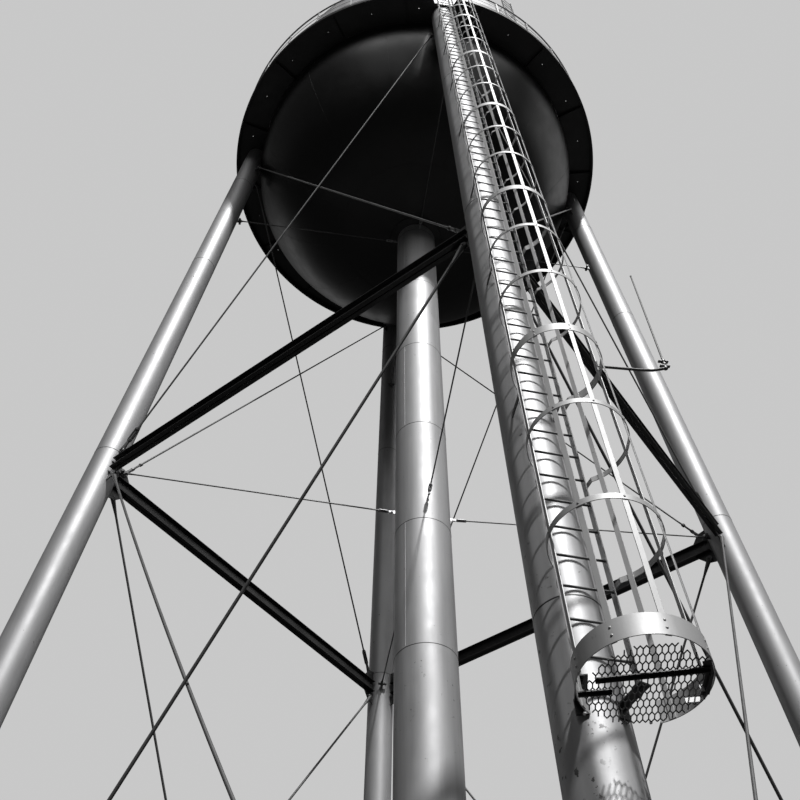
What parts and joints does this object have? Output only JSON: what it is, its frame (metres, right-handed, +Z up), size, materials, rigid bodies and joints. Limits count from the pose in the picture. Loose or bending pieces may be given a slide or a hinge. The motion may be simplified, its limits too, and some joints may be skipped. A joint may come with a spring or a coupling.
{
  "type": "elevated water tank",
  "caption": "Tall welded steel water tower: round tank with bowl bottom and balcony on battered pipe legs, tie rods, central riser and caged ladder up one leg.",
  "frame": {"origin": "on the riser's axis at ground level, the underside of the riser's pier", "axes": "+Z up the riser; -Y points to the near leg, the one that carries the ladder; +X to the right-hand leg as seen from the ladder's side"},
  "size_m": [13.5922, 13.8748, 32.6806],
  "materials": {
    "silver_paint": "satin silver paint, lightly streaked",
    "dark_paint": "dull dark paint",
    "rod_paint": "weathered dark grey paint",
    "cage_steel": "satin silver paint on flat steel",
    "concrete": "rough cast concrete"
  },
  "bodies": {
    "root": {"leg_near": "silver_paint", "pier_near": "concrete", "leg_right": "silver_paint", "pier_right": "concrete", "leg_far": "silver_paint", "pier_far": "concrete", "leg_left": "silver_paint", "pier_left": "concrete", "strut_near_right": "dark_paint", "upper_rod_right_to_near": "rod_paint", "upper_rod_near_to_right": "rod_paint", "lower_rod_right_to_near": "rod_paint", "lower_rod_near_to_right": "rod_paint", "strut_right_far": "dark_paint", "upper_rod_far_to_right": "rod_paint", "upper_rod_right_to_far": "rod_paint", "lower_rod_far_to_right": "rod_paint", "lower_rod_right_to_far": "rod_paint", "strut_far_left": "dark_paint", "upper_rod_left_to_far": "rod_paint", "upper_rod_far_to_left": "rod_paint", "lower_rod_left_to_far": "rod_paint", "lower_rod_far_to_left": "rod_paint", "strut_left_near": "dark_paint", "upper_rod_near_to_left": "rod_paint", "upper_rod_left_to_near": "rod_paint", "lower_rod_near_to_left": "rod_paint", "lower_rod_left_to_near": "rod_paint", "riser_pier": "concrete", "riser": "silver_paint", "riser_stays_lower": "rod_paint", "riser_stays_upper": "rod_paint", "tank_bowl": "dark_paint", "tank_shell": "silver_paint", "tank_roof": "silver_paint", "roof_vent": "silver_paint", "roof_hatch": "silver_paint", "tank_ladder": "cage_steel", "balcony_floor": "dark_paint", "railing_front_right": "cage_steel", "railing_back_right": "cage_steel", "railing_back_left": "cage_steel", "railing_front_left": "cage_steel", "ladder": "cage_steel", "cage_left": "cage_steel", "cage_front_left": "cage_steel", "cage_front": "cage_steel", "cage_front_right": "cage_steel", "cage_right": "cage_steel", "climb_guard": "dark_paint", "whip_aerial": "rod_paint"}
  },
  "joints": []
}
